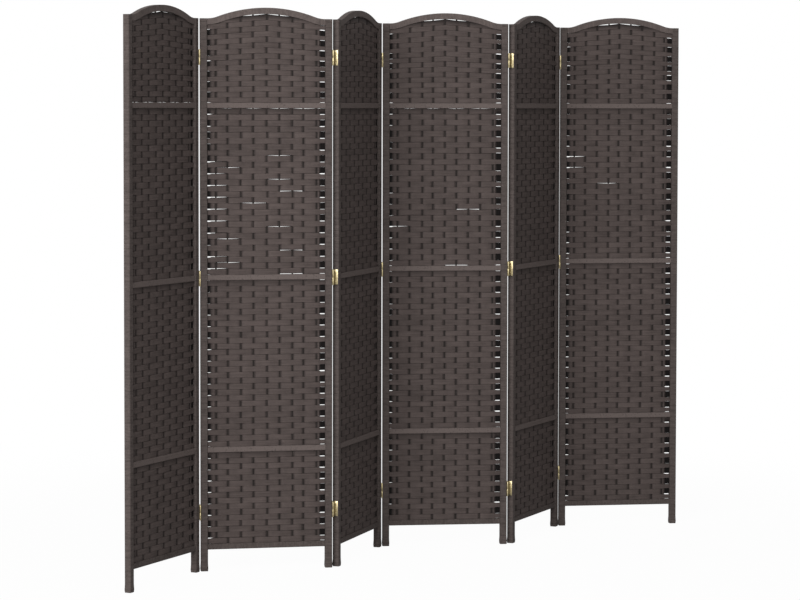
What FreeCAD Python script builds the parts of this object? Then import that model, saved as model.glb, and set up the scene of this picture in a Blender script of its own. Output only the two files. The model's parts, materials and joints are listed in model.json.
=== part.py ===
import FreeCAD, Part
import math
import os

# Folding screen of six framed panels, woven in paper strip and joined by two-way hinges.
# Millimetres. +Z is up, +X runs along the screen from its first panel to its last, and the
# front faces -Y. The origin is on the floor, in the middle of the screen's box.

Vector = FreeCAD.Vector
UP = Vector(0, 0, 1)

# Panel frame
PANEL_WIDTH = 401.1
SHOULDER_HEIGHT = 1667.0
CROWN_RISE = 33.0
STILE_WIDTH = 21.0
STILE_DEPTH = 20.0
EDGE_EASE = 2.0
FOOT_HEIGHT = 24.0
FOOT_SWELL = 0.8

# Rails between the stiles: heights to the rail's middle, the upper one taken down from the shoulders
RAIL_HEIGHT = 17.0
RAIL_DEPTH = 17.0
UPPER_RAIL_DROP = 260.5
MIDDLE_RAIL_AT = 888.5
LOWER_RAIL_AT = 368.0
BOTTOM_RAIL_AT = 74.0

# Arched top rail: a crown that runs out into the shoulders through a hollow curve
ARCH_BAND = 18.5
ARCH_HOLLOW_RADIUS = 90.0

# Blind mortise and tenon at every end of a rail
TENON_LENGTH = 11.0
TENON_HEIGHT = 9.0
TENON_DEPTH = 8.0
TENON_CLEARANCE = 0.1

# Woven fields
WEAVE_DEPTH = 13.0
WEAVE_CLEARANCE = 0.3

# Two-way hinge: two leaves and a centre plate with a pin at each face of the screen.
# Heights to the hinge's middle, the top one taken down from the shoulders.
HINGE_HEIGHT = 46.0
TOP_HINGE_DROP = 116.0
MIDDLE_HINGE_AT = 886.0
BOTTOM_HINGE_AT = 178.0
PLATE_THICKNESS = 1.1
PLATE_CLEARANCE = 0.4
LEAF_MARGIN = 3.0
PIN_RADIUS = 1.2
PIN_CLEARANCE = 0.05
PIN_SET_OUT = 1.5
KNUCKLE_GAP = 0.4
BARREL_SIDES = 8
ACCESS_HOLE_RADIUS = 3.4
ACCESS_HOLE_SPACING = 28.0

# Fold at each joint, in degrees, in turn towards the front and towards the back
FOLD_ANGLES = (53.5, 60.5, 64.5, 58.5, 57.0)

# Sizes that follow from those above
PANEL_COUNT = len(FOLD_ANGLES) + 1
PANEL_GAP = 3 * PLATE_THICKNESS + 2 * PLATE_CLEARANCE
KNUCKLE_RADIUS = PANEL_GAP / 2
PIN_OFFSET = STILE_DEPTH / 2 + PIN_SET_OUT
SIDE_HALF_ANGLE = math.pi / BARREL_SIDES
EYE_ROOM = KNUCKLE_RADIUS / math.cos(SIDE_HALF_ANGLE) + KNUCKLE_GAP
CLEAR_WIDTH = PANEL_WIDTH - 2 * STILE_WIDTH
UPPER_RAIL_AT = SHOULDER_HEIGHT - UPPER_RAIL_DROP
CROSS_RAILS_AT = (LOWER_RAIL_AT, MIDDLE_RAIL_AT, UPPER_RAIL_AT)
HINGES_AT = (BOTTOM_HINGE_AT, MIDDLE_HINGE_AT, SHOULDER_HEIGHT - TOP_HINGE_DROP)
ARCH_TENON_AT = SHOULDER_HEIGHT - ARCH_BAND / 2


def box(low, high):
    """A block between two opposite corners, in whichever order."""
    corner = Vector(*[min(a, b) for a, b in zip(low, high)])
    size = [abs(b - a) for a, b in zip(low, high)]
    return Part.makeBox(*size, corner)


def joined(shapes):
    """One solid from shapes that meet or overlap, without the seams between them."""
    return shapes[0].multiFuse(shapes[1:]).removeSplitter()


def eased_rectangle(width, depth, grow=0.0):
    """Corners of a rectangle about the origin with its four corners cut off, grown on every side."""
    x = width / 2 + grow
    y = depth / 2 + grow
    corners = []
    for sx, sy in ((1, 1), (-1, 1), (-1, -1), (1, -1)):
        ends = [(sx * x, sy * (y - EDGE_EASE)), (sx * (x - EDGE_EASE), sy * y)]
        corners += ends if sx == sy else ends[::-1]
    return corners


def at_height(corners, centre_x, z):
    """A closed level outline at height z."""
    points = [Vector(centre_x + x, y, z) for x, y in corners]
    return Part.makePolygon(points + points[:1])


def mortise(face_x, inward, z):
    """The space cut into a stile from its inner face, for the tenon of a rail at height z."""
    deep = TENON_LENGTH + TENON_CLEARANCE
    wide = TENON_DEPTH / 2 + TENON_CLEARANCE
    tall = TENON_HEIGHT / 2 + TENON_CLEARANCE
    return box((face_x, -wide, z - tall), (face_x + inward * deep, wide, z + tall))


def stile(centre_x, inner_side):
    """An upright with eased edges, a swollen foot and mortises in the face towards the panel."""
    plain = eased_rectangle(STILE_WIDTH, STILE_DEPTH)
    swollen = eased_rectangle(STILE_WIDTH, STILE_DEPTH, FOOT_SWELL)
    levels = [
        (plain, 0.0),
        (swollen, FOOT_HEIGHT / 3),
        (plain, FOOT_HEIGHT),
        (plain, SHOULDER_HEIGHT),
    ]
    body = Part.makeLoft([at_height(outline, centre_x, z) for outline, z in levels], True, True)
    face_x = centre_x + inner_side * STILE_WIDTH / 2
    heights = (BOTTOM_RAIL_AT,) + CROSS_RAILS_AT + (ARCH_TENON_AT,)
    return body.cut([mortise(face_x, -inner_side, z) for z in heights])


def tenons(z):
    """The two tenons of a rail at height z, reaching into the left and right stiles."""
    half_deep = TENON_DEPTH / 2
    half_tall = TENON_HEIGHT / 2
    blocks = []
    for end_x, outward in ((STILE_WIDTH, -1), (PANEL_WIDTH - STILE_WIDTH, 1)):
        low = (end_x, -half_deep, z - half_tall)
        high = (end_x + outward * TENON_LENGTH, half_deep, z + half_tall)
        blocks.append(box(low, high))
    return blocks


def rail(z):
    """A level rail with eased edges, shouldered against both stiles."""
    points = [Vector(STILE_WIDTH, y, z + up) for y, up in eased_rectangle(RAIL_DEPTH, RAIL_HEIGHT)]
    bar = Part.Face(Part.makePolygon(points + points[:1])).extrude(Vector(CLEAR_WIDTH, 0, 0))
    return joined([bar] + tenons(z))


def arch_line(below):
    """The arch's curve from the left stile to the right one, at a distance below its top edge.

    Returns three arcs: hollow, crown, hollow. They share their tangents, and the hollow ones are
    level where they meet the stiles.
    """
    half_span = CLEAR_WIDTH / 2
    turn = 2 * math.atan(CROWN_RISE / half_span)
    radii_sum = half_span / math.sin(turn)
    hollow = ARCH_HOLLOW_RADIUS + below
    crown = radii_sum - ARCH_HOLLOW_RADIUS - below
    middle_x = PANEL_WIDTH / 2
    crown_centre = Vector(middle_x, 0, SHOULDER_HEIGHT + CROWN_RISE - below - crown)

    def on_crown(angle):
        return crown_centre + Vector(crown * math.sin(angle), 0, crown * math.cos(angle))

    def on_hollow(side, angle):
        centre = Vector(middle_x + side * half_span, 0, SHOULDER_HEIGHT - below + hollow)
        return centre - Vector(side * hollow * math.sin(angle), 0, hollow * math.cos(angle))

    return [
        Part.Arc(on_hollow(-1, 0), on_hollow(-1, turn / 2), on_crown(-turn)).toShape(),
        Part.Arc(on_crown(-turn), on_crown(0), on_crown(turn)).toShape(),
        Part.Arc(on_crown(turn), on_hollow(1, turn / 2), on_hollow(1, 0)).toShape(),
    ]


def arched_solid(top_edges, bottom_edges, depth):
    """A solid of the given depth, centred on the panel, between an upper and a lower edge."""
    top_left = top_edges[0].firstVertex().Point
    top_right = top_edges[-1].lastVertex().Point
    bottom_left = bottom_edges[0].firstVertex().Point
    bottom_right = bottom_edges[-1].lastVertex().Point
    sides = [Part.makeLine(top_right, bottom_right), Part.makeLine(top_left, bottom_left)]
    outline = Part.Wire(Part.__sortEdges__(top_edges + bottom_edges + sides))
    solid = Part.Face(outline).extrude(Vector(0, depth, 0))
    solid.translate(Vector(0, -depth / 2, 0))
    return solid


def top_arch():
    """The bent top rail, of even thickness, tenoned into the tops of the stiles."""
    band = arched_solid(arch_line(0), arch_line(ARCH_BAND), RAIL_DEPTH)
    return joined([band] + tenons(ARCH_TENON_AT))


def woven_field(low, high):
    """A woven mat that fills the opening between two level rails."""
    left = STILE_WIDTH + WEAVE_CLEARANCE
    right = PANEL_WIDTH - STILE_WIDTH - WEAVE_CLEARANCE
    bottom = low + RAIL_HEIGHT / 2 + WEAVE_CLEARANCE
    top = high - RAIL_HEIGHT / 2 - WEAVE_CLEARANCE
    return box((left, -WEAVE_DEPTH / 2, bottom), (right, WEAVE_DEPTH / 2, top))


def crown_field():
    """The woven mat under the arch, whose upper edge follows the bent rail."""
    bottom = UPPER_RAIL_AT + RAIL_HEIGHT / 2 + WEAVE_CLEARANCE
    left = Vector(STILE_WIDTH, 0, bottom)
    right = Vector(PANEL_WIDTH - STILE_WIDTH, 0, bottom)
    level = [Part.makeLine(left, right)]
    mat = arched_solid(arch_line(ARCH_BAND + WEAVE_CLEARANCE), level, WEAVE_DEPTH)
    room = box(
        (STILE_WIDTH + WEAVE_CLEARANCE, -WEAVE_DEPTH, bottom - WEAVE_DEPTH),
        (PANEL_WIDTH - STILE_WIDTH - WEAVE_CLEARANCE, WEAVE_DEPTH, SHOULDER_HEIGHT + CROWN_RISE),
    )
    return mat.common(room)


def flat_sided_bar(radius, low, high, axis_y=0.0):
    """An upright many-sided bar on a pin's axis; radius is from the axis to the middle of a side."""
    corner = radius / math.cos(SIDE_HALF_ANGLE)
    points = []
    for index in range(BARREL_SIDES):
        angle = (2 * index + 1) * SIDE_HALF_ANGLE
        points.append(Vector(corner * math.cos(angle), axis_y + corner * math.sin(angle), low))
    return Part.Face(Part.makePolygon(points + points[:1])).extrude(Vector(0, 0, high - low))


def hinge_leaf():
    """A leaf about its pin: the plate lies on a stile that begins at +x, and the eye is its upper half.

    The plate stops short of the centre plate's eye, which fills the lower half of the same barrel.
    """
    half = HINGE_HEIGHT / 2
    outer_x = KNUCKLE_RADIUS
    inner_x = KNUCKLE_RADIUS - PLATE_THICKNESS
    far_y = PIN_SET_OUT + STILE_DEPTH - LEAF_MARGIN
    plate = box((inner_x, -far_y, -half), (outer_x, -EYE_ROOM, half))
    root = box((inner_x, -EYE_ROOM, KNUCKLE_GAP / 2), (outer_x, 0, half))
    eye = flat_sided_bar(KNUCKLE_RADIUS, KNUCKLE_GAP / 2, half)
    bore = flat_sided_bar(PIN_RADIUS + PIN_CLEARANCE, -half, HINGE_HEIGHT)
    return joined([plate, root, eye]).cut(bore)


def centre_plate():
    """The plate between two leaves: a round pin stands in its eye at each face of the screen.

    Two holes let a screwdriver through to the screws of the leaf behind.
    """
    half = HINGE_HEIGHT / 2
    half_thick = PLATE_THICKNESS / 2
    reach = PIN_OFFSET - EYE_ROOM
    pin_foot = PLATE_THICKNESS - half
    pieces = [box((-half_thick, -reach, -half), (half_thick, reach, half))]
    for side in (-1, 1):
        pin_y = side * PIN_OFFSET
        pieces.append(box((-half_thick, side * reach, -half), (half_thick, pin_y, -KNUCKLE_GAP / 2)))
        pieces.append(flat_sided_bar(KNUCKLE_RADIUS, -half, -KNUCKLE_GAP / 2, pin_y))
        pieces.append(Part.makeCylinder(PIN_RADIUS, half - pin_foot, Vector(0, pin_y, pin_foot)))
    hole = flat_sided_bar(ACCESS_HOLE_RADIUS, -PLATE_THICKNESS, PLATE_THICKNESS)
    hole.rotate(Vector(0, 0, 0), Vector(0, 1, 0), 90)
    holes = [hole.translated(Vector(0, 0, side * ACCESS_HOLE_SPACING / 2)) for side in (-1, 1)]
    return joined(pieces).cut(holes)


def placed(x, y, turn=0.0):
    """A place on the floor plan, turned about the vertical by an angle in degrees."""
    return FreeCAD.Placement(Vector(x, y, 0), FreeCAD.Rotation(UP, turn))


def floor_plan():
    """Places of the panels and of the centre plates, walking along the screen from its first panel.

    A panel's place is its left edge on its middle plane, and a centre plate's is the middle of its gap.
    A joint that folds to the front turns on the front pin with its centre plate lying on the panel
    after it; one that folds to the back turns on the back pin with the plate lying on the panel before it.
    """
    panels = [placed(0, 0, FOLD_ANGLES[0] / 2)]
    links = []
    gap_x = PANEL_WIDTH + PANEL_GAP / 2
    for index, fold in enumerate(FOLD_ANGLES):
        before = panels[-1]
        if index % 2 == 0:
            links.append(before * placed(gap_x, -PIN_OFFSET, -fold) * placed(0, PIN_OFFSET))
            panels.append(links[-1] * placed(PANEL_GAP / 2, 0))
        else:
            links.append(before * placed(gap_x, 0))
            turned = before * placed(gap_x, PIN_OFFSET, fold)
            panels.append(turned * placed(PANEL_GAP / 2, -PIN_OFFSET))
    return panels, links


def panel_pieces(has_left_hinge, has_right_hinge):
    """Every piece of one panel in the panel's own frame, by name, as lists of solids."""
    pieces = {
        "stile_left": [stile(STILE_WIDTH / 2, 1)],
        "stile_right": [stile(PANEL_WIDTH - STILE_WIDTH / 2, -1)],
        "top_arch": [top_arch()],
        "cross_rails": [rail(z) for z in CROSS_RAILS_AT],
        "bottom_rail": [rail(BOTTOM_RAIL_AT)],
        "weave": [crown_field()],
        "hinge_leaves": [],
    }
    levels = (BOTTOM_RAIL_AT,) + CROSS_RAILS_AT
    for low, high in zip(levels, levels[1:]):
        pieces["weave"].append(woven_field(low, high))
    edges = []
    if has_left_hinge:
        edges.append(placed(-PANEL_GAP / 2, PIN_OFFSET))
    if has_right_hinge:
        edges.append(placed(PANEL_WIDTH + PANEL_GAP / 2, -PIN_OFFSET, 180))
    for edge in edges:
        for z in HINGES_AT:
            leaf = hinge_leaf()
            leaf.Placement = edge * FreeCAD.Placement(Vector(0, 0, z), FreeCAD.Rotation())
            pieces["hinge_leaves"].append(leaf)
    return pieces


def screen_pieces():
    """Every piece of the screen where it stands, by node name."""
    panels, links = floor_plan()
    nodes = {}
    for index, place in enumerate(panels):
        pieces = panel_pieces(index > 0, index < PANEL_COUNT - 1)
        for name, solids in pieces.items():
            group = Part.makeCompound(solids)
            group.Placement = place
            nodes[f"{name}_{index + 1}"] = group
    for index, place in enumerate(links):
        plates = []
        for z in HINGES_AT:
            plate = centre_plate()
            plate.translate(Vector(0, 0, z))
            plates.append(plate)
        group = Part.makeCompound(plates)
        group.Placement = place
        nodes[f"hinge_plates_{index + 1}{index + 2}"] = group
    return nodes


def middle_of_box(shapes):
    """The point of the floor plan in the middle of the box around the shapes."""
    bounds = FreeCAD.BoundBox()
    for shape in shapes:
        bounds.add(shape.optimalBoundingBox(False))
    return Vector(bounds.Center.x, bounds.Center.y, 0)


def main():
    nodes = screen_pieces()
    shift = middle_of_box(nodes.values()) * -1
    os.makedirs("parts", exist_ok=True)
    for name, shape in nodes.items():
        shape.translate(shift)
        shape.exportStep(f"parts/{name}.step")


main()
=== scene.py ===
"""Looks of a six-panel folding screen: paper-wrapped frames, woven paper mats and two-way brass hinges."""

import json
import math
import random
from collections import namedtuple

import bmesh
import bpy
from mathutils import Matrix, Vector


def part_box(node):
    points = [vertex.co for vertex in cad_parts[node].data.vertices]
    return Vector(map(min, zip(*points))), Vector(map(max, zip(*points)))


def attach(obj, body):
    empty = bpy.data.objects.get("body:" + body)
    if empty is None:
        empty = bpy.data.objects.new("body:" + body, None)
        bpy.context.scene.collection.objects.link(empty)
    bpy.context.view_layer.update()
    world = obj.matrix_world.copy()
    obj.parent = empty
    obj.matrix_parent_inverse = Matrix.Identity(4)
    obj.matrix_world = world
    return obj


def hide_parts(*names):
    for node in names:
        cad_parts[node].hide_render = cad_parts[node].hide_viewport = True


bl_info = {
    "name": "Folding Screen Looks",
    "version": (1, 0, 0),
    "blender": (4, 5, 0),
    "location": "View3D > Sidebar > Folding Screen",
    "description": "Gives a packed folding screen its woven mats, hinges, finishes and stage",
    "category": "Object",
}

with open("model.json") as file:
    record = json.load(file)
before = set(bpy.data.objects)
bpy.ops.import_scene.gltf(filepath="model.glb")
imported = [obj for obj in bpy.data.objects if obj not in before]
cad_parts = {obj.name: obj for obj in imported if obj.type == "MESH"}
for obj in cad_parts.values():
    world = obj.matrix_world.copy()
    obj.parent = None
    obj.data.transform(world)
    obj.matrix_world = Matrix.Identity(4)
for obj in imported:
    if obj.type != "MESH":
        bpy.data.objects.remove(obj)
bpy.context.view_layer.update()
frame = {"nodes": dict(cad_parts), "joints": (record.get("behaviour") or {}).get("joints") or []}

PANELS = range(1, 7)
JOINTS = [(k, k + 1) for k in range(1, 6)]
UPPER_FIELD = 2  # The field below the upper rail, counted from the lowest, which is 0
CROWN_FIELD = 3  # The field under the arch


# Fixed sizes of the weave, in metres

SAME_PLACE = 1e-5  # Points nearer than this lie at one place
FOOT_HEIGHT = 0.1  # Above this a stile is clear of its swollen foot
SIDE_PLAY = 0.0004  # Between the end of a strip and its stile
ARCH_PLAY = 0.0004  # What the mat keeps clear of the arch everywhere
STAKE_ROOT = 0.003  # How deep a stake stands in the bottom rail
STAKE_TIP = 0.002  # How deep a stake stands in the arch

# Depths of a strip's two faces at a stake, as shares of its swing, and how far its height has changed there

Relief = namedtuple("Relief", "flat dipped before behind")
AT_STAKE = Relief(flat=1, dipped=-1, before=0, behind=1)
AT_DASH = Relief(flat=1, dipped=-0.9, before=0.1, behind=1)
AT_DIP = Relief(flat=0.95, dipped=0.1, before=0.35, behind=0.6)
BETWEEN_STAKES = 0.4  # Depth of both faces half way between two stakes

# Ends of a strip: depths as shares of its swing, lengths as shares of the stake inset

FRONT_END = -0.5  # Depth of an end that stays in front
FRONT_BEND = -0.8  # Depth where such an end begins
BACK_BEND = 0.6  # Depth where a diving end begins
LEFT_REACH = 0.72  # From the outer stake to the turn at the left stile
RIGHT_REACH = 0.5  # The same at the right stile
BEND_LENGTH = 0.2  # From the bend to the turn
BEND_HEIGHT = 1.04  # Height at the bend, as a share of the row
BEND_SHADE = 0.35  # How dark the painted shade at the bend is
END_SHADE = 1.0  # How dark the painted shade on a hidden end is

# Unevenness of stakes and rows

FIRST_SEED = 40  # Each panel's dice start from this and its number
OUTER_WANDER = 0.3  # How much of the wander the two outer stakes have
ROW_HEIGHTS = (0.99, 1.02)  # Least and greatest height, as shares of the even height
ROW_LEANS = (0.0015, 0.004)  # Greatest lean of rows that end in front and of diving rows, in radians
ROW_TONES = (0.14, 0.32)  # Darkest and lightest row
BRICK_TONE = 0.05  # How far one stretch of a row may differ from it
MANY_LOOSE = 0.5  # A panel with more loose rows than this has only its more open diving strips
LOOSE_PART = 0.75  # Share of the upper field, from below, that may have loose rows
SLACK_STARTS = (0, 2, 4, 5, 6)  # Stakes at which a loose stretch may begin
Patterns = namedtuple("Patterns", "fronts backs crown_backs slack hooked")

# Painted shadow on the top row of a field, and the crown under its arch

TOP_SHADOW_LEVEL = 0.7  # The top row has painted shadow above this share of its height
RAIL_SHADOW = 0.45  # How dark the painted shadow under a rail is
ARCH_SHADOW = 0.8  # How dark the painted shadow under the arch is
CROWN_EDGE = 0.97  # Share of the half width at which the level rows meet the arch
CAGE_EDGE = 0.999  # Share of the half width within which the arch is sought
CAGE_STEPS = 25  # Points of the cage along a panel
SLIT_SHARE = 0.34  # Share of the half width that the open slit takes up
SLIT_CURVE = 4  # How fast the slit closes at its ends
SLIT_SPREAD = (0.2, 1.2)  # Least and greatest share of the slit at one point

# Paper: fibre scales along x, y and z, the tint of painted shade and of tape seams, and relief

STRIP_FIBRES = (14, 14, 330)
STRIP_SPECKLE = 0.07
STAKE_FIBRES = (400, 400, 9)
FIBRE_CONTRAST = 0.55  # How much the fibres change the tone
FIBRE_RELIEF = 0.0004  # In metres
# Colour that the mesh attribute 'shade' blends the paper towards: painted shade in dips, grooves, hidden ends
# and under rails and the arch
PAINTED_SHADE_TINT = (0.05, 0.045, 0.045, 1)
SEAM_TINT = (0.62, 0.60, 0.59, 1)
SEAM_WIDTH = 0.14  # Share of a turn of tape

# Paper wrap of each kind of frame member

Wrap = namedtuple("Wrap", "stems fibres tone speckle turns")
WRAPS = {
    "upright wrap": Wrap(stems=("stile_left", "stile_right"), fibres=(40, 40, 330), tone=0.13, speckle=0.12,
                         turns=54.0),
    "arch wrap": Wrap(stems=("top_arch",), fibres=(240, 240, 40), tone=0.42, speckle=0.16, turns=0.0),
    # The cross rails' wrap is much lighter than the arch's: painted light where light falls on their rounded
    # tops
    "rail wrap": Wrap(stems=("cross_rails",), fibres=(240, 240, 40), tone=0.97, speckle=0.75, turns=0.0),
    # The bottom rail's wrap is darker: painted shade, as the light falls off towards the floor
    "bottom rail wrap": Wrap(stems=("bottom_rail",), fibres=(240, 240, 40), tone=0.06, speckle=0.16,
                             turns=0.0),
}

# Small sizes of the hinges, in metres

SHEET_EDGE = 0.0002  # Bevel of plates, leaves and screws
EYE_EDGE = 0.00018  # Bevel of an eye
PIN_EDGE = 0.0004  # Bevel of a pin's ends
ROOT_LAP = 0.0005  # How far the root of an eye laps its plate
SCREW_HEAD = 0.0009  # Height of a screw head
SCREW_SEAT = 0.0001  # How deep the middle of a head lies in the leaf
SLOT_DEPTH = 0.0008
SLOT_WIDTH = 0.0007
SLOT_PLACE = 0.00055  # From the middle of a head to the middle of its slots
SLOT_SHARE = 0.62  # Reach of a slot, as a share of the screw's radius

# Angles up to which edges are smoothed, in degrees

STRIP_SMOOTH = 30
STAKE_SMOOTH = 50
HINGE_SMOOTH = 35

# Stage

FLOOR_SIZE = 60
SHADOW_FADE = (1.2, 3.0)  # Distances from the middle over which the shadow fades out, in metres
SHADOW_WHITE = 0.97  # How much of the white is left under the object
SENSOR_WIDTH = 36.0
FAR_CLIP = 200


# Settings

class WeaveSettings(bpy.types.PropertyGroup):
    """Sizes and colours of the woven mats."""

    stakes: bpy.props.IntProperty(
        name="Stakes", description="Upright stakes in each panel", default=9, min=3)
    stake_inset: bpy.props.FloatProperty(
        name="Stake Inset", description="From a stile to the nearest stake",
        default=0.0258, unit="LENGTH")
    stake_wander: bpy.props.FloatProperty(
        name="Stake Wander", description="How far a stake may stand from its even place",
        default=0.0032, unit="LENGTH")
    stake_radius: bpy.props.FloatProperty(
        name="Stake Radius", description="Radius of a stake", default=0.0026, unit="LENGTH")
    strip_thickness: bpy.props.FloatProperty(
        name="Strip Thickness", description="Thickness of a woven strip", default=0.0064, unit="LENGTH")
    swing: bpy.props.FloatProperty(
        name="Swing", description="From the mat's middle to the middle of a strip before or behind a stake",
        default=0.0017, unit="LENGTH")
    dash: bpy.props.FloatProperty(
        name="Dash", description="Half the width of the dark dip of a strip behind a stake", default=0.0027,
        unit="LENGTH")
    dip: bpy.props.FloatProperty(
        name="Dip", description="From a stake to where the strip behind it comes forward", default=0.0068,
        unit="LENGTH")
    # Painted shade: dash_shade darkens the dip behind a stake, edge_shade the grooves along a strip's upper
    # and lower edge
    dash_shade: bpy.props.FloatProperty(
        name="Dash Shade", description="How dark a strip is in its dip behind a stake", default=0.54)
    edge_shade: bpy.props.FloatProperty(
        name="Edge Shade", description="How dark a strip is along its upper and lower edge", default=0.85)
    flat: bpy.props.FloatProperty(
        name="Flat Share", description="Level of a strip's shoulders as a share of its height", default=0.44)
    heights: bpy.props.FloatVectorProperty(
        name="Heights", size=3, default=(1.01, 1.08, 1.16),
        description="Height of a strip before, between and behind stakes, as shares of its row")
    rows: bpy.props.IntVectorProperty(
        name="Rows", description="Rows in each field, from the lowest to the crown", size=4,
        default=(16, 29, 28, 16))
    dive: bpy.props.FloatProperty(
        name="Dive", description="How far a strip dives to the back at a stile",
        default=0.0030, unit="LENGTH")
    pinches: bpy.props.FloatVectorProperty(
        name="Pinches", description="Height of a diving strip at the right stile, as shares of its row",
        size=3, default=(1.04, 1.10, 1.16))
    front_pinches: bpy.props.FloatVectorProperty(
        name="Front Pinches", description="Height of a strip that ends in front, as shares of its row",
        size=2, default=(0.78, 0.85))
    left_share: bpy.props.FloatProperty(
        name="Left Share", description="How much of the pinch at the right stile a strip has at the left one",
        default=0.7)
    slack: bpy.props.FloatProperty(
        name="Slack", description="Height of a loose stretch of strip, as a share of its row", default=0.985)
    loose: bpy.props.FloatVectorProperty(
        name="Loose Rows", description="Share of loose rows in each panel's upper field", size=6,
        default=(0.0, 0.85, 0.0, 0.20, 0.0, 0.12))
    crown_slit: bpy.props.FloatProperty(
        name="Crown Slit", description="Open slit between the mat and the top of the arch",
        default=0.0014, unit="LENGTH")
    rail_slits: bpy.props.FloatVectorProperty(
        name="Rail Slits", description="Open slit under the upper rail of each panel", size=6,
        default=(0.0, 0.0003, 0.0, 0.0002, 0.0, 0.0), unit="LENGTH")
    crown_slits: bpy.props.FloatVectorProperty(
        name="Crown Slits", description="Open slit over the upper rail of each panel", size=6,
        default=(0.0003, 0.0, 0.0, 0.0, 0.0, 0.0), unit="LENGTH")
    drift: bpy.props.FloatProperty(
        name="Drift", description="How far a row may slide along the stakes' line", default=0.0022,
        unit="LENGTH")
    dark: bpy.props.FloatVectorProperty(
        name="Dark Fibre", description="Darkest colour of the paper strips", subtype="COLOR",
        default=(0.040, 0.0312, 0.0288))
    light: bpy.props.FloatVectorProperty(
        name="Light Fibre", description="Lightest colour of the paper strips", subtype="COLOR",
        default=(0.090, 0.070, 0.065))
    # Near black: partly the stakes' own colour, partly painted shade of the deep dip round each stake
    stake_colour: bpy.props.FloatVectorProperty(
        name="Stake Colour", description="Colour of the stakes", subtype="COLOR",
        default=(0.009, 0.0074, 0.0066))


class FrameSettings(bpy.types.PropertyGroup):
    """Colours of the paper wrapped round the frames."""

    dark: bpy.props.FloatVectorProperty(
        name="Dark Wrap", description="Darkest colour of the wrap", subtype="COLOR",
        default=(0.042, 0.034, 0.031))
    light: bpy.props.FloatVectorProperty(
        name="Light Wrap", description="Lightest colour of the wrap", subtype="COLOR",
        default=(0.106, 0.085, 0.079))


class HingeSettings(bpy.types.PropertyGroup):
    """Sizes and colours of the hinges."""

    plate: bpy.props.FloatProperty(
        name="Plate Thickness", description="Thickness of a leaf and of a centre plate",
        default=0.0011, unit="LENGTH")
    eye: bpy.props.FloatProperty(
        name="Eye Radius", description="Outer radius of a rolled eye", default=0.00205, unit="LENGTH")
    pin: bpy.props.FloatProperty(
        name="Pin Radius", description="Radius of a hinge pin", default=0.0012, unit="LENGTH")
    leaf: bpy.props.FloatProperty(
        name="Leaf Reach", description="From a leaf's pin to its far edge", default=0.0185, unit="LENGTH")
    knuckle_gap: bpy.props.FloatProperty(
        name="Knuckle Gap", description="Between two eyes on one pin", default=0.0004, unit="LENGTH")
    hole: bpy.props.FloatProperty(
        name="Hole Radius", description="Radius of a hole that lets a driver reach the screws",
        default=0.0034, unit="LENGTH")
    hole_spacing: bpy.props.FloatProperty(
        name="Hole Spacing", description="Between the two holes of a centre plate",
        default=0.028, unit="LENGTH")
    screw: bpy.props.FloatProperty(
        name="Screw Radius", description="Radius of a screw head", default=0.0026, unit="LENGTH")
    brass: bpy.props.FloatVectorProperty(
        name="Brass", description="Colour of the clean metal", subtype="COLOR",
        default=(0.52, 0.44, 0.26))
    tarnish: bpy.props.FloatVectorProperty(
        name="Tarnish", description="Colour of the dull metal", subtype="COLOR",
        default=(0.30, 0.25, 0.14))


class StageSettings(bpy.types.PropertyGroup):
    """Camera, floor and light."""

    lens: bpy.props.FloatProperty(
        name="Lens", description="Focal length in millimetres", default=121.83)
    eye: bpy.props.FloatVectorProperty(
        name="Camera Place", description="Where the camera stands", subtype="TRANSLATION",
        default=(-5.2027, -6.7365, 1.4063))
    turn: bpy.props.FloatProperty(
        name="Turn", description="Turn of the view to the right of straight ahead", subtype="ANGLE",
        default=math.radians(37.630))
    pitch: bpy.props.FloatProperty(
        name="Pitch", description="Tilt of the view below level", subtype="ANGLE",
        default=math.radians(2.766))
    roll: bpy.props.FloatProperty(
        name="Roll", description="Roll of the camera", subtype="ANGLE", default=math.radians(0.094))
    shift: bpy.props.FloatProperty(
        name="Lens Shift", description="How far the picture is set above the lens axis",
        default=-0.0793)
    floor: bpy.props.FloatVectorProperty(
        name="Floor", description="Colour of the floor", subtype="COLOR", default=(0.68, 0.68, 0.68))
    key: bpy.props.FloatProperty(
        name="Key Light", description="Power of the main light", default=640.0)
    key_size: bpy.props.FloatProperty(
        name="Key Size", description="Width of the main light", default=5.0, unit="LENGTH")
    key_place: bpy.props.FloatVectorProperty(
        name="Key Place", description="Where the main light stands, seen along the view",
        subtype="TRANSLATION", default=(-2.9, -6.9, 3.4))
    key_aim: bpy.props.FloatVectorProperty(
        name="Key Aim", description="Where the main light points", subtype="TRANSLATION",
        default=(0.0, 0.0, 0.8))
    fill: bpy.props.FloatProperty(
        name="Fill", description="Strength of the light from all round", default=0.42)


# Places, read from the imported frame

def middle(node):
    """Middle of a node's box."""
    low, high = (Vector(corner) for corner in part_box(node))
    return (low + high) / 2


def panel_place(k):
    """Frame of a panel: its middle on the floor, x along it, y to its back."""
    left, right = middle(f"stile_left_{k}"), middle(f"stile_right_{k}")
    along = right - left
    centre = (left + right) / 2
    heading = math.atan2(along.y, along.x)
    return Matrix.Translation((centre.x, centre.y, 0)) @ Matrix.Rotation(heading, 4, "Z")


def local_points(node, place):
    """Corners of a node, in the frame of its panel or link."""
    back = place.inverted()
    return [back @ vertex.co for vertex in frame["nodes"][node].data.vertices]


def spans(points, gap=0.03):
    """Lowest and highest level of each group of points that stand apart in height."""
    levels = sorted(point.z for point in points)
    found = [[levels[0], levels[0]]]
    for level in levels:
        if level - found[-1][1] > gap:
            found.append([level, level])
        found[-1][1] = level
    return found


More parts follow.
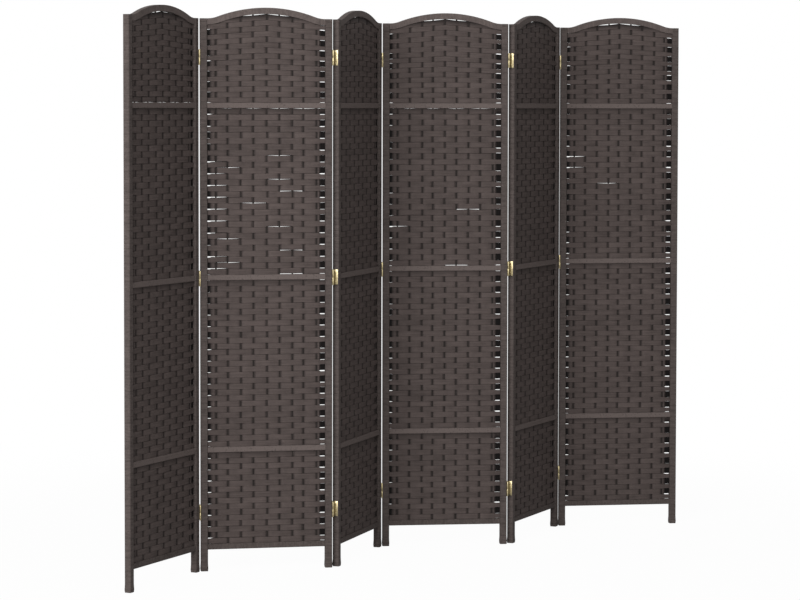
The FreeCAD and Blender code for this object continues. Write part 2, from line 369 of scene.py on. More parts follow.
def opening(k):
    """Half the clear width of a panel, the levels of its straight fields, and where its crown begins."""
    place = panel_place(k)
    above_foot = [p.x for p in local_points(f"stile_right_{k}", place) if p.z > FOOT_HEIGHT]
    rails = spans(local_points(f"bottom_rail_{k}", place)) + spans(local_points(f"cross_rails_{k}", place))
    fields = [(low[1], high[0]) for low, high in zip(rails, rails[1:])]
    return min(above_foot), fields, rails[-1][1]


def arch_underside(k, x):
    """Level of the underside of a panel's arch."""
    start = panel_place(k) @ Vector((x, 0, opening(k)[2]))
    hit, point, _normal, _face = frame["nodes"][f"top_arch_{k}"].ray_cast(start, (0, 0, 1))
    if not hit:
        raise RuntimeError(f"no arch above {x} on panel {k}")
    return point.z


def pin_place(a, b, side):
    """Where the front or back pin of a joint line stands on the floor plan."""
    name = f"hinge_{a}{b}_{side}"
    joint = next(j for j in frame["joints"] if j["name"] == name)
    return Vector((joint["pos_m"][0], joint["pos_m"][1], 0))


# Modelling helpers

def select_only(*objects):
    """Selects these objects alone and makes the first one active."""
    bpy.ops.object.select_all(action="DESELECT")
    for obj in objects:
        obj.select_set(True)
    bpy.context.view_layer.objects.active = objects[0]


def pick(obj, kind, wanted):
    """In edit mode, selects the vertices (VERT) or faces (FACE) that the test wants."""
    mesh = bmesh.from_edit_mesh(obj.data)
    mesh.select_mode = {kind}
    for element in mesh.verts if kind == "VERT" else mesh.faces:
        element.select_set(bool(wanted(element)))
    mesh.select_flush_mode()
    bmesh.update_edit_mesh(obj.data)


def new_primitive(name, adder, **keys):
    """Adds a primitive, takes its place and turn into its mesh and names it."""
    bpy.ops.object.select_all(action="DESELECT")
    adder(**keys)
    obj = bpy.context.active_object
    bpy.ops.object.transform_apply(location=True, rotation=True, scale=True)
    obj.name = obj.data.name = name
    return obj


def new_cylinder(name, sides, radius, depth, **keys):
    """Adds a cylinder. It stands upright where no turn is given."""
    return new_primitive(name, bpy.ops.mesh.primitive_cylinder_add, vertices=sides, radius=radius,
                         depth=depth, **keys)


def apply_modifier(obj, kind, **settings):
    """Adds a modifier to an object and applies it."""
    select_only(obj)
    modifier = obj.modifiers.new(kind.title(), kind)
    for key, value in settings.items():
        setattr(modifier, key, value)
    bpy.ops.object.modifier_apply(modifier=modifier.name)


def cut(obj, tool):
    """Cuts a tool's shape out of an object and removes the tool."""
    apply_modifier(obj, "BOOLEAN", object=tool, operation="DIFFERENCE", solver="EXACT")
    discard(tool)


def copy_of(obj, matrix, name):
    """A copy with a mesh of its own, the place taken into the mesh."""
    mesh = obj.data.copy()
    mesh.transform(matrix)
    twin = bpy.data.objects.new(name, mesh)
    bpy.context.scene.collection.objects.link(twin)
    return twin


def join(objects, name):
    """Joins objects into one with the given name."""
    select_only(*objects)
    if len(objects) > 1:
        bpy.ops.object.join()
    obj = bpy.context.active_object
    obj.name = obj.data.name = name
    return obj


def discard(*objects):
    """Removes patterns and tools that are no longer needed."""
    for obj in objects:
        bpy.data.objects.remove(obj)


def dress(obj, finish, smooth_angle):
    """Gives an object one material, and smooths its edges that are blunter than an angle."""
    obj.data.materials.clear()
    obj.data.materials.append(finish)
    select_only(obj)
    bpy.ops.object.shade_smooth_by_angle(angle=math.radians(smooth_angle))


# Node helpers

def set_inputs(tree, node, inputs):
    """Gives each input of a node its value, or a link where it is given a socket."""
    for key, value in inputs.items():
        if isinstance(value, bpy.types.NodeSocket):
            tree.links.new(value, node.inputs[key])
        else:
            node.inputs[key].default_value = value


def add_node(tree, kind, inputs, **settings):
    """Adds a node with its settings and inputs."""
    node = tree.nodes.new(kind)
    for key, value in settings.items():
        setattr(node, key, value)
    set_inputs(tree, node, inputs)
    return node


def maths(tree, operation, *values, **settings):
    """A sum, product or other operation on values."""
    node = add_node(tree, "ShaderNodeMath", dict(enumerate(values)), operation=operation, **settings)
    return node.outputs["Value"]


def map_range(tree, value, start=(0.0, 1.0), goal=(0.0, 1.0), **settings):
    """Maps a value from one range to another and keeps it inside."""
    inputs = {"Value": value, "From Min": start[0], "From Max": start[1],
              "To Min": goal[0], "To Max": goal[1]}
    return add_node(tree, "ShaderNodeMapRange", inputs, **settings).outputs["Result"]


def blend(tree, factor, first, second, **settings):
    """Mixes two colours."""
    inputs = {"Factor": factor, "A": first, "B": second}
    return add_node(tree, "ShaderNodeMix", inputs, data_type="RGBA", **settings).outputs["Result"]


def noise(tree, where, **inputs):
    """Noise at a place."""
    return add_node(tree, "ShaderNodeTexNoise", {"Vector": where, **inputs}).outputs["Fac"]


def object_place(tree):
    """Place in the object's own coordinates."""
    return add_node(tree, "ShaderNodeTexCoord", {}).outputs["Object"]


def attribute(tree, name):
    """Value of a mesh attribute."""
    return add_node(tree, "ShaderNodeAttribute", {}, attribute_name=name).outputs["Fac"]


def new_group(name, inputs, outputs):
    """A shader group with its sockets, and what it is given."""
    group = bpy.data.node_groups.new(name, "ShaderNodeTree")
    for way, sockets in (("INPUT", inputs), ("OUTPUT", outputs)):
        for socket, kind in sockets.items():
            group.interface.new_socket(socket, in_out=way, socket_type=f"NodeSocket{kind}")
    return group, add_node(group, "NodeGroupInput", {}).outputs


def shared_group(name, maker):
    """A shader group that is made once."""
    return bpy.data.node_groups.get(name) or maker(name)


# Materials

def fibre_group(name):
    """Shader group: long fine fibres, stretched along the axes whose scale is small."""
    group, given = new_group(
        name, {"Vector": "Vector", "Fibre Scale": "Vector", "Dark": "Color", "Light": "Color",
               "Tone": "Float", "Speckle": "Float"}, {"Color": "Color", "Height": "Float"})
    stretched = add_node(group, "ShaderNodeVectorMath", {0: given["Vector"], 1: given["Fibre Scale"]},
                         operation="MULTIPLY").outputs["Vector"]
    fine = noise(group, stretched, Scale=1.0, Detail=4.0, Roughness=0.65)
    fine = map_range(group, fine, (0.30, 0.70))
    blotches = noise(group, given["Vector"], Scale=34.0, Detail=2.0)
    blotches = map_range(group, blotches, (0.30, 0.70), (-0.12, 0.12))
    specks = noise(group, given["Vector"], Scale=210.0, Detail=3.0)
    specks = map_range(group, specks, (0.32, 0.68), (-1.0, 1.0))
    tone = maths(group, "ADD", maths(group, "MULTIPLY", fine, FIBRE_CONTRAST), given["Tone"])
    grain = maths(group, "MULTIPLY_ADD", specks, given["Speckle"], blotches)
    total = maths(group, "ADD", tone, grain, use_clamp=True)
    colour = blend(group, total, given["Dark"], given["Light"])
    add_node(group, "NodeGroupOutput", {"Color": colour, "Height": fine})
    return group


def tape_group(name):
    """Shader group: the seams of a paper tape wound round an upright, as a mask."""
    group, given = new_group(name, {"Vector": "Vector", "Turns": "Float"}, {"Seam": "Float"})
    height = add_node(group, "ShaderNodeSeparateXYZ", {"Vector": given["Vector"]}).outputs["Z"]
    wander = noise(group, given["Vector"], Scale=30.0)
    turn = maths(group, "FRACT", maths(group, "MULTIPLY_ADD", height, given["Turns"], wander))
    add_node(group, "NodeGroupOutput", {"Seam": map_range(group, turn, (0.0, SEAM_WIDTH), (1.0, 0.0))})
    return group


def material(name):
    """A new material with its node tree and its shader."""
    made = bpy.data.materials.new(name)
    made.use_nodes = True
    return made, made.node_tree, made.node_tree.nodes["Principled BSDF"]


def paper_material(name, dark, light, fibre_scale, tone=None, shaded=False, speckle=0.0, turns=0.0):
    """Matt paper with fibres. The tone is a number or the mesh attribute 'tone'.

    The mesh attribute 'shade' paints shade into the colour: dips, edges, hidden ends and the top rows under
    rails and the arch. The turns of a wound tape leave seams.
    """
    made, tree, shader = material(name)
    where = object_place(tree)
    fibres = add_node(tree, "ShaderNodeGroup", {
        "Vector": where, "Fibre Scale": fibre_scale, "Dark": (*dark, 1), "Light": (*light, 1),
        "Speckle": speckle, "Tone": attribute(tree, "tone") if tone is None else tone,
    }, node_tree=shared_group("Paper Fibres", fibre_group))
    colour = fibres.outputs["Color"]
    if shaded:
        # Painted shade: darker where the attribute 'shade' says
        colour = blend(tree, attribute(tree, "shade"), colour, PAINTED_SHADE_TINT, blend_type="MULTIPLY")
    if turns:
        tape = add_node(tree, "ShaderNodeGroup", {"Vector": where, "Turns": turns},
                        node_tree=shared_group("Tape Seams", tape_group))
        colour = blend(tree, tape.outputs["Seam"], colour, SEAM_TINT, blend_type="MULTIPLY")
    bump = add_node(tree, "ShaderNodeBump", {"Height": fibres.outputs["Height"], "Strength": 0.6,
                                             "Distance": FIBRE_RELIEF})
    set_inputs(tree, shader, {"Base Color": colour, "Normal": bump.outputs["Normal"], "Roughness": 0.72,
                              "Specular IOR Level": 0.14})
    return made


def brass_material(hinge):
    """Pale brass with dull patches."""
    made, tree, shader = material("hinge brass")
    patches = noise(tree, object_place(tree), Scale=260.0, Detail=3.0)
    worn = map_range(tree, patches, (0.45, 0.75))
    colour = blend(tree, worn, (*hinge.brass, 1), (*hinge.tarnish, 1))
    roughness = map_range(tree, patches, goal=(0.30, 0.55))
    set_inputs(tree, shader, {"Base Color": colour, "Roughness": roughness, "Metallic": 1.0})
    return made


def floor_material(stage):
    """A floor that the camera sees as white, a little less so near the object to keep its shadow."""
    made, tree, shader = material("floor white")
    set_inputs(tree, shader, {"Base Color": (*stage.floor, 1), "Roughness": 0.9, "Specular IOR Level": 0.0})
    glow = add_node(tree, "ShaderNodeEmission", {"Strength": 1.0})
    distance = add_node(tree, "ShaderNodeVectorMath", {0: object_place(tree)}, operation="LENGTH")
    fade = map_range(tree, distance.outputs["Value"], SHADOW_FADE, (SHADOW_WHITE, 1.0),
                     interpolation_type="SMOOTHSTEP")
    rays = add_node(tree, "ShaderNodeLightPath", {}).outputs
    share = maths(tree, "MULTIPLY", rays["Is Camera Ray"], fade)
    either = add_node(tree, "ShaderNodeMixShader", {"Fac": share, 1: shader.outputs["BSDF"],
                                                    2: glow.outputs["Emission"]})
    set_inputs(tree, tree.nodes["Material Output"], {"Surface": either.outputs["Shader"]})
    return made


# Woven mats

def stake_places(half_width, weave, dice):
    """Where the stakes stand along a panel, a little uneven."""
    reach = half_width - weave.stake_inset
    last = weave.stakes - 1
    places = []
    for i in range(weave.stakes):
        freedom = OUTER_WANDER if i in (0, last) else 1
        places.append(-reach + 2 * reach * i / last + weave.stake_wander * dice.uniform(-1, 1) * freedom)
    return places


def strip_columns(stakes, weave, front):
    """Where a strip bends: place along it, depths of its two faces, and height as a share of its row.

    The face away from a stake lies flat across it, and the face towards it dips close to the stake.
    """
    swing = weave.swing
    before, between, behind = weave.heights
    columns = []
    for i, x in enumerate(stakes):
        if i:
            middle_x = (stakes[i - 1] + x) / 2
            columns.append((middle_x, -BETWEEN_STAKES * swing, BETWEEN_STAKES * swing, between))
        ahead = (i % 2 == 0) == front
        for step, relief in ((-weave.dip, AT_DIP), (-weave.dash, AT_DASH), (0, AT_STAKE),
                             (weave.dash, AT_DASH), (weave.dip, AT_DIP)):
            if ahead:
                height = before + relief.before * (between - before)
                columns.append((x + step, -relief.flat * swing, relief.dipped * swing, height))
            else:
                height = between + relief.behind * (behind - between)
                columns.append((x + step, -relief.dipped * swing, relief.flat * swing, height))
    return columns


def strip_ends(half_width, stakes, weave, front, pinch, lift):
    """A strip's left and right end, from a bend outwards: place, depths of its faces, height and lift."""
    depth = FRONT_END * weave.swing if front else weave.dive
    at_bend = (FRONT_BEND if front else BACK_BEND) * weave.swing
    full = 1.0 if front else weave.heights[2]
    ends = []
    for outer, way, share, reach in ((stakes[0], -1, weave.left_share, LEFT_REACH),
                                     (stakes[-1], 1, 1.0, RIGHT_REACH)):
        height = full - (full - pinch) * share
        bend = outer + way * (reach - BEND_LENGTH) * weave.stake_inset
        turn = outer + way * reach * weave.stake_inset
        ends.append([(bend, at_bend, at_bend, BEND_HEIGHT, 0), (turn, depth, depth, height, lift),
                     (way * half_width, depth, depth, height, lift)])
    return ends


def model_strip(half_width, stakes, weave, front, pinch, lift=0, loose=None):
    """One strip, a unit high, over and under the stakes.

    Its ends lie in front at the stiles, or dive and leave a slit below (lift 1) or above (lift -1). A loose
    strip is lower between two of its stakes.
    """
    tip = 0.5
    shoulder = tip / 2
    tilt = math.pi / 6
    strip = new_cylinder("strip", 6, tip, 2 * half_width, end_fill_type="NGON", rotation=(0, math.pi / 2, 0))
    select_only(strip)
    bpy.ops.object.mode_set(mode="EDIT")
    bpy.ops.mesh.select_all(action="SELECT")
    bpy.ops.transform.rotate(value=tilt, orient_axis="X", center_override=(0, 0, 0))
    bpy.ops.transform.resize(value=(1, weave.strip_thickness / math.cos(tilt), 1))
    pick(strip, "VERT", lambda v: abs(v.co.z) < (tip + shoulder) / 2)
    bpy.ops.transform.resize(value=(1, 1, weave.flat / shoulder))
    left, right = strip_ends(half_width, stakes, weave, front, pinch, lift)
    bends = [(*column, 0) for column in strip_columns(stakes, weave, front)] + left + right
    for x, *_rest in bends:
        if abs(x) < half_width:
            bpy.ops.mesh.select_all(action="SELECT")
            bpy.ops.mesh.bisect(plane_co=(x, 0, 0), plane_no=(1, 0, 0))
    if loose:
        slack_from = stakes[loose[0]] if loose[0] or front else -half_width
        slack_to = stakes[loose[1]]
    for x, _ahead, _astern, height, up in bends:
        if loose and slack_from - SAME_PLACE < x < slack_to + SAME_PLACE:
            height, up = weave.slack, 1
        pick(strip, "VERT", lambda v: abs(v.co.x - x) < SAME_PLACE)
        bpy.ops.transform.resize(value=(1, 1, height), center_override=(0, 0, 0))
        bpy.ops.transform.translate(value=(0, 0, up * (weave.heights[2] - height) / 2))
    bpy.ops.object.mode_set(mode="OBJECT")
    shape_faces(strip, stakes, weave, front, bends, left[0][0], right[0][0])
    return strip


def shape_faces(strip, stakes, weave, front, bends, left, right):
    """Moves the faces of a strip to their depths, and paints shade on its edges, dips and hidden ends.

    The ends begin at the places left and right.
    """
    face = weave.strip_thickness / 4
    shades = []
    for v in strip.data.vertices:
        x = v.co.x
        _place, ahead, astern, *_rest = min(bends, key=lambda bend: abs(bend[0] - x))
        on_back = v.co.y > face
        on_front = v.co.y < -face
        v.co.y += astern if on_back else ahead if on_front else (ahead + astern) / 2
        dips = stakes[1::2] if front != on_back else stakes[0::2]
        # Painted shade: the grooves along the edges, the dip behind each stake, the bends and the hidden ends
        # are darkened
        if not on_back and not on_front:
            shades.append(weave.edge_shade)
        elif any(abs(x - dip) < weave.dash + SAME_PLACE for dip in dips):
            shades.append(weave.dash_shade)
        elif front != on_back or left + SAME_PLACE < x < right - SAME_PLACE:
            shades.append(0.0)
        else:
            shades.append(BEND_SHADE if left - SAME_PLACE < x < right + SAME_PLACE else END_SHADE)
    strip.data.attributes.new("shade", "FLOAT", "POINT").data.foreach_set("value", shades)


def model_patterns(half_width, stakes, weave, has_loose):
    """Each kind of strip that a panel has, to copy into its rows."""
    def strips(front, pinches, **ends):
        return [model_strip(half_width, stakes, weave, front, pinch, **ends) for pinch in pinches]

    slack, hooked = [], []
    if has_loose:
        for i in SLACK_STARTS:
            slack += strips(True, [weave.front_pinches[i % 2]], loose=(i, i + 2))
        hooked = strips(False, weave.pinches[:2], lift=1, loose=(0, 1))
    return Patterns(fronts=strips(True, weave.front_pinches), backs=strips(False, weave.pinches, lift=1),
                    crown_backs=strips(False, weave.pinches, lift=-1), slack=slack, hooked=hooked)


def row_copy(pattern, stakes, level, height, lean, drift, tone, dice):
    """A strip set into its row, a little uneven, with its own tone and a shade of it before each stake."""
    matrix = (Matrix.Translation((0, 0, level)) @ Matrix.Rotation(lean, 4, "Y")
              @ Matrix.Diagonal((1, 1, height, 1)))
    row = copy_of(pattern, matrix, "row")
    reach = max(v.co.x for v in row.data.vertices)
    for v in row.data.vertices:
        v.co.x += drift * (1 - (v.co.x / reach) ** 2)
    spots = [dice.uniform(-BRICK_TONE, BRICK_TONE) for _stake in stakes]
    tones = [tone + spots[min(range(len(stakes)), key=lambda i: abs(stakes[i] - v.co.x))]
             for v in row.data.vertices]
    row.data.attributes.new("tone", "FLOAT", "POINT").data.foreach_set("value", tones)
    return row


def paint_top_shadow(row, level, depth):
    """Paints shadow, as dark as depth, on what lies above a level: the shadow that the arch or a rail casts
    on the top row under it.
    """
    shade = row.data.attributes["shade"].data
    for v in row.data.vertices:
        if v.co.z > level:
            shade[v.index].value = depth


def weave_field(k, field, low, high, patterns, stakes, weave, dice):
    """The rows of one field of a panel, joined."""
    loose = weave.loose[k - 1]
    slit_under = weave.rail_slits[k - 1] if field == UPPER_FIELD else 0.0
    slit_over = weave.crown_slits[k - 1] if field == CROWN_FIELD else 0.0
    low, high = low + slit_over, high - slit_under
    count = weave.rows[field]
    pitch = (high - low) / count
    diving = patterns.crown_backs if field == CROWN_FIELD else patterns.backs
    if loose > MANY_LOOSE:
        diving = diving[:2]
    rows = []
    for r in range(count):
        pattern = dice.choice(diving if r % 2 else patterns.fronts)
        if field == UPPER_FIELD and r < LOOSE_PART * count and dice.random() < loose:
            pattern = dice.choice(patterns.hooked if r % 2 else patterns.slack)
        height = pitch * dice.uniform(*ROW_HEIGHTS)
        if slit_under and r == count - 1 or slit_over and r == 0:
            height = pitch / weave.heights[1]
        lean = ROW_LEANS[r % 2] * dice.uniform(-1, 1)
        drift = weave.drift * dice.uniform(-1, 1)
        tone = dice.uniform(*ROW_TONES)
        row = row_copy(pattern, stakes, low + pitch * (r + 0.5), height, lean, drift, tone, dice)
        # The top row of each field gets a painted shadow of the rail or arch above it
        if r == count - 1:
            paint_top_shadow(row, low + pitch * (r + TOP_SHADOW_LEVEL), ARCH_SHADOW if field == CROWN_FIELD else RAIL_SHADOW)
        rows.append(row)
    return join(rows, "mat")


def fit_crown(mat, k, half_width, base, top, slit, dice):
    """Stretches the level rows of a crown mat up to the underside of the arch."""
    cage_data = bpy.data.lattices.new("crown cage")
    cage_data.points_u, cage_data.points_v, cage_data.points_w = CAGE_STEPS, 1, 2
    cage_data.interpolation_type_u = cage_data.interpolation_type_w = "KEY_LINEAR"
    cage = bpy.data.objects.new("crown cage", cage_data)
    bpy.context.scene.collection.objects.link(cage)
    cage.location = (0, 0, (base + top) / 2)
    cage.scale = (2 * half_width, 1, top - base)
    bpy.context.view_layer.update()
    edge = CAGE_EDGE * half_width
    for point in cage_data.points:
        if point.co.z > 0:
            x = point.co.x * 2 * half_width
            open_part = max(0.0, 1 - abs(x / (SLIT_SHARE * half_width)) ** SLIT_CURVE)
            level = arch_underside(k, min(max(x, -edge), edge))
            level -= ARCH_PLAY + slit * open_part * dice.uniform(*SLIT_SPREAD)
            point.co_deform.z += (level - top) / (top - base)
    apply_modifier(mat, "LATTICE", object=cage)
    discard(cage)


class FOLDINGSCREEN_OT_weave(bpy.types.Operator):
    """Model the stakes and woven strips of every panel."""

    bl_idname = "folding_screen.weave"
    bl_label = "Weave the Mats"

    def execute(self, context):
        weave = context.scene.screen_weave
        paper = paper_material("woven paper", weave.dark, weave.light, STRIP_FIBRES, shaded=True,
                               speckle=STRIP_SPECKLE)
        stake_paper = paper_material("stake paper", weave.stake_colour, weave.dark, STAKE_FIBRES, tone=0.0)
        for k in PANELS:
            dice = random.Random(FIRST_SEED + k)
            place = panel_place(k)
            half_width, fields, crown_base = opening(k)
            half_width -= SIDE_PLAY
            posts = stake_places(half_width, weave, dice)
            patterns = model_patterns(half_width, posts, weave, weave.loose[k - 1] > 0)
            crown_top = arch_underside(k, CROWN_EDGE * half_width)
            levels = fields + [(crown_base, crown_top)]
            mats = [weave_field(k, field, low, high, patterns, posts, weave, dice)
                    for field, (low, high) in enumerate(levels)]
            fit_crown(mats[CROWN_FIELD], k, half_width, crown_base, crown_top, weave.crown_slit, dice)
            for kind in patterns:
                discard(*kind)
            strips = join(mats, f"strips_{k}")
            strips.data.transform(place)
            dress(strips, paper, STRIP_SMOOTH)
            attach(strips, f"panel_{k}")
            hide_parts(f"weave_{k}")
            stakes = []
            for x in posts:
                low, high = fields[0][0] - STAKE_ROOT, arch_underside(k, x) + STAKE_TIP
                stakes.append(new_cylinder("stake", 8, weave.stake_radius, high - low,
                                           location=(x, 0, (low + high) / 2)))
            rods = join(stakes, f"stakes_{k}")
            rods.data.transform(place)
            dress(rods, stake_paper, STAKE_SMOOTH)
            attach(rods, f"panel_{k}")
        return {"FINISHED"}


# Frames

class FOLDINGSCREEN_OT_frames(bpy.types.Operator):
    """Give the stiles, rails and arches their paper wrap."""

    bl_idname = "folding_screen.frames"
    bl_label = "Wrap the Frames"

    def execute(self, context):
        colours = context.scene.screen_frames
        for name, wrap in WRAPS.items():
            finish = paper_material(name, colours.dark, colours.light, wrap.fibres, wrap.tone,
                                    speckle=wrap.speckle, turns=wrap.turns)
            for stem in wrap.stems:
                for k in PANELS:
                    node = frame["nodes"][f"{stem}_{k}"]
                    node.data.materials.clear()
                    node.data.materials.append(finish)
        return {"FINISHED"}


# Hinges

def model_eye(hinge, low, high):
    """A rolled eye about the upright axis, with the end of its pin sunk a little in each end."""
    eye = new_cylinder("eye", 32, hinge.eye, high - low, location=(0, 0, (low + high) / 2))
    select_only(eye)
    bpy.ops.object.mode_set(mode="EDIT")
    for way in (1, -1):
        pick(eye, "FACE", lambda face: face.normal.z * way > 0.9)
        bpy.ops.mesh.inset(thickness=hinge.eye - hinge.pin)
        bpy.ops.mesh.extrude_region_move(TRANSFORM_OT_translate={"value": (0, 0, -way * hinge.pin / 3)})
    bpy.ops.object.mode_set(mode="OBJECT")
    apply_modifier(eye, "BEVEL", width=EYE_EDGE, segments=2, limit_method="ANGLE")
    return eye


def model_sheet(name, low, high):
    """A flat piece of sheet metal with softened edges."""
    low, high = Vector(low), Vector(high)
    sheet = new_primitive(name, bpy.ops.mesh.primitive_cube_add, size=1, location=(low + high) / 2,
                          scale=high - low)
    apply_modifier(sheet, "BEVEL", width=SHEET_EDGE, segments=2)
    return sheet


def model_screw(hinge, face_x, y, z):
    """A flat screw head with a cross slot, its face towards -x."""
    head = new_cylinder("screw", 24, hinge.screw, SCREW_HEAD, location=(face_x, y, z),
                        rotation=(0, math.pi / 2, 0))
    apply_modifier(head, "BEVEL", width=SHEET_EDGE, segments=2, limit_method="ANGLE")
    deep, long, wide = SLOT_DEPTH / 2, SLOT_SHARE * hinge.screw, SLOT_WIDTH / 2
    for half_size in ((deep, long, wide), (deep, wide, long)):
        cut(head, new_primitive("slot", bpy.ops.mesh.primitive_cube_add, size=2, scale=half_size,
                                location=(face_x - SLOT_PLACE, y, z)))
    return head


def model_leaf(hinge, half, offset):
    """A leaf about its pin: the plate lies on a stile that begins at +x, the eye is its upper half."""
    inner, outer = hinge.eye - hinge.plate, hinge.eye
    room = hinge.eye + 2 * hinge.knuckle_gap
    pieces = [model_sheet("leaf", (inner, -hinge.leaf, -half), (outer, -room, half)),
              model_sheet("root", (inner, -room - ROOT_LAP, hinge.knuckle_gap / 2), (outer, 0, half)),
              model_eye(hinge, hinge.knuckle_gap / 2, half)]
    for way in (-1, 1):
        pieces.append(model_screw(hinge, inner + SCREW_SEAT, -offset, way * hinge.hole_spacing / 2))
    return join(pieces, "leaf")


def model_centre_plate(hinge, half, offset):
    """The plate between two leaves, with an eye at each side and two holes for a driver."""
    thick = hinge.plate / 2
    reach = offset - hinge.eye - 2 * hinge.knuckle_gap
    plate = model_sheet("plate", (-thick, -reach, -half), (thick, reach, half))
    for way in (-1, 1):
        cut(plate, new_cylinder("drill", 32, hinge.hole, 4 * hinge.plate, rotation=(0, math.pi / 2, 0),
                                location=(0, 0, way * hinge.hole_spacing / 2)))
    pieces = [plate]
    for way in (-1, 1):
        y = way * offset
        lap = way * (reach - ROOT_LAP)
        root = model_sheet("root", (-thick, min(y, lap), -half), (thick, max(y, lap), -hinge.knuckle_gap / 2))
        eye = model_eye(hinge, -half, -hinge.knuckle_gap / 2)
        eye.data.transform(Matrix.Translation((0, y, 0)))
        pin = new_cylinder("pin", 24, hinge.pin, 2 * half - hinge.plate, location=(0, y, 0))
        apply_modifier(pin, "BEVEL", width=PIN_EDGE, segments=3, limit_method="ANGLE")
        pieces += [root, eye, pin]
    return join(pieces, "centre plate")


class FOLDINGSCREEN_OT_hinges(bpy.types.Operator):
    """Model the leaves, screws and centre plates of the two-way hinges."""

    bl_idname = "folding_screen.hinges"
    bl_label = "Model the Hinges"

    def execute(self, context):
        hinge = context.scene.screen_hinges
        brass = brass_material(hinge)
        front, back = (pin_place(*JOINTS[0], side) for side in ("front", "back"))
        offset = (back - front).length / 2
        levels = spans(local_points("hinge_plates_12", Matrix()))
        half = (levels[0][1] - levels[0][0]) / 2
        leaf = model_leaf(hinge, half, offset)
        plate = model_centre_plate(hinge, half, offset)
        heights = [Matrix.Translation((0, 0, (low + high) / 2)) for low, high in levels]
        made = {f"leaves_{k}": ([], f"panel_{k}", f"hinge_leaves_{k}") for k in PANELS}
        for a, b in JOINTS:
            front, back = (pin_place(a, b, side) for side in ("front", "back"))
            turn_a, turn_b = (panel_place(k).to_euler().z for k in (a, b))
            across = back - front
            on_a = Matrix.Translation(front) @ Matrix.Rotation(turn_a + math.pi, 4, "Z")
            on_b = Matrix.Translation(back) @ Matrix.Rotation(turn_b, 4, "Z")
            between = (Matrix.Translation((front + back) / 2)
                       @ Matrix.Rotation(math.atan2(across.y, across.x) - math.pi / 2, 4, "Z"))
            for k, place in ((a, on_a), (b, on_b)):
                made[f"leaves_{k}"][0].extend(copy_of(leaf, place @ height, "leaf") for height in heights)
            made[f"plates_{a}{b}"] = ([copy_of(plate, between @ height, "plate") for height in heights],
                                      f"link_{a}{b}", f"hinge_plates_{a}{b}")
        for name, (pieces, body, node) in made.items():
            piece = join(pieces, name)
            dress(piece, brass, HINGE_SMOOTH)
            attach(piece, body)
            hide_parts(node)
        discard(leaf, plate)
        return {"FINISHED"}


# Stage

def light_all_round(scene, fill):
    """White where the camera, metal or glass sees the surroundings, and an even fill for everything else."""
    world = scene.world or bpy.data.worlds.new("studio")
    scene.world = world
    world.use_nodes = True
    tree = world.node_tree
    tree.nodes.clear()
    rays = add_node(tree, "ShaderNodeLightPath", {}).outputs
    white = maths(tree, "MAXIMUM", rays["Is Camera Ray"], rays["Is Glossy Ray"])
    white = maths(tree, "MAXIMUM", white, rays["Is Transmission Ray"])
    around, seen = (add_node(tree, "ShaderNodeBackground", {"Color": (1, 1, 1, 1), "Strength": strength})
                    for strength in (fill, 1.0))
    either = add_node(tree, "ShaderNodeMixShader", {"Fac": white, 1: around.outputs["Background"],
                                                    2: seen.outputs["Background"]})
    add_node(tree, "ShaderNodeOutputWorld", {"Surface": either.outputs["Shader"]})


def place_key(scene, stage, view):
    """A broad light from the left front."""
    data = bpy.data.lights.new("key", "AREA")
    data.shape, data.size, data.energy = "DISK", stage.key_size, stage.key
    lamp = bpy.data.objects.new("key", data)
    scene.collection.objects.link(lamp)
    spot = view @ Vector(stage.key_place)
    facing = (Vector(stage.key_aim) - spot).to_track_quat("-Z", "Y")
    lamp.matrix_world = Matrix.Translation(spot) @ facing.to_matrix().to_4x4()


def place_camera(scene, stage, view):
    """A camera with a shifted lens."""
    data = bpy.data.cameras.new("camera")
    data.lens, data.sensor_width = stage.lens, SENSOR_WIDTH
    data.clip_end = FAR_CLIP
    data.shift_y = stage.shift
    camera = bpy.data.objects.new("camera", data)
    scene.collection.objects.link(camera)
    camera.matrix_world = (Matrix.Translation(stage.eye) @ view
                           @ Matrix.Rotation(math.pi / 2 - stage.pitch, 4, "X")
                           @ Matrix.Rotation(stage.roll, 4, "Z"))
    scene.camera = camera


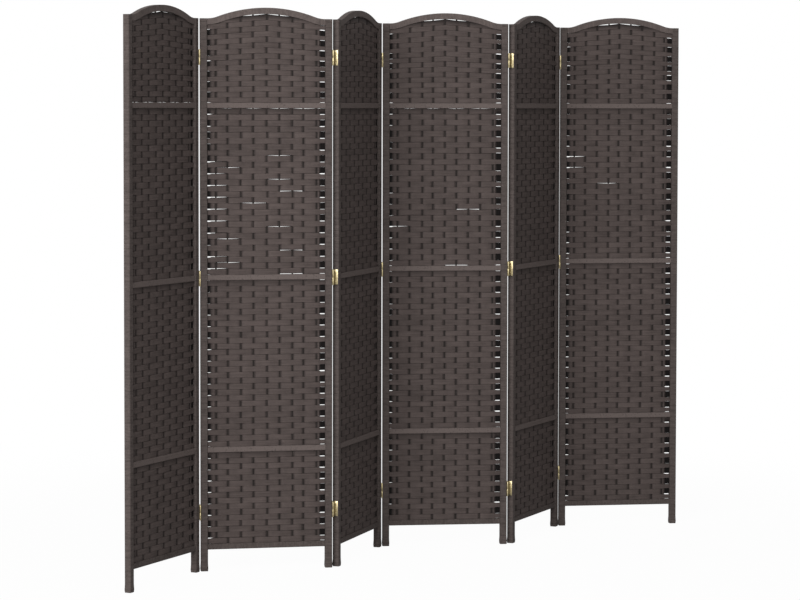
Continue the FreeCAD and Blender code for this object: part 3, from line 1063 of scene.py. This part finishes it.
class FOLDINGSCREEN_OT_stage(bpy.types.Operator):
    """Set up the floor, the light and the camera."""

    bl_idname = "folding_screen.stage"
    bl_label = "Set the Stage"

    def execute(self, context):
        scene = context.scene
        stage = scene.screen_stage
        scene.view_settings.view_transform = "Standard"
        floor = new_primitive("floor", bpy.ops.mesh.primitive_plane_add, size=FLOOR_SIZE)
        floor.data.materials.append(floor_material(stage))
        view = Matrix.Rotation(-stage.turn, 4, "Z")
        light_all_round(scene, stage.fill)
        place_key(scene, stage, view)
        place_camera(scene, stage, view)
        return {"FINISHED"}


# Panel and registration

class FOLDINGSCREEN_PT_looks(bpy.types.Panel):
    """Sidebar panel with the settings and one button for each group of pieces."""

    bl_idname = "FOLDINGSCREEN_PT_looks"
    bl_label = "Folding Screen"
    bl_space_type = "VIEW_3D"
    bl_region_type = "UI"
    bl_category = "Folding Screen"

    def draw(self, context):
        for group in ("frames", "weave", "hinges", "stage"):
            box = self.layout.box()
            settings = getattr(context.scene, f"screen_{group}")
            for key in settings.__annotations__:
                box.prop(settings, key)
            box.operator(f"folding_screen.{group}")


CLASSES = (WeaveSettings, FrameSettings, HingeSettings, StageSettings, FOLDINGSCREEN_OT_weave,
           FOLDINGSCREEN_OT_frames, FOLDINGSCREEN_OT_hinges, FOLDINGSCREEN_OT_stage, FOLDINGSCREEN_PT_looks)
SETTINGS = {"screen_weave": WeaveSettings, "screen_frames": FrameSettings,
            "screen_hinges": HingeSettings, "screen_stage": StageSettings}


def register():
    for cls in CLASSES:
        bpy.utils.register_class(cls)
    for name, cls in SETTINGS.items():
        setattr(bpy.types.Scene, name, bpy.props.PointerProperty(type=cls))


def unregister():
    for name in SETTINGS:
        delattr(bpy.types.Scene, name)
    for cls in reversed(CLASSES):
        bpy.utils.unregister_class(cls)


def main():
    register()
    bpy.ops.folding_screen.frames()
    bpy.ops.folding_screen.weave()
    bpy.ops.folding_screen.hinges()
    bpy.ops.folding_screen.stage()


if __name__ == "__main__":
    main()
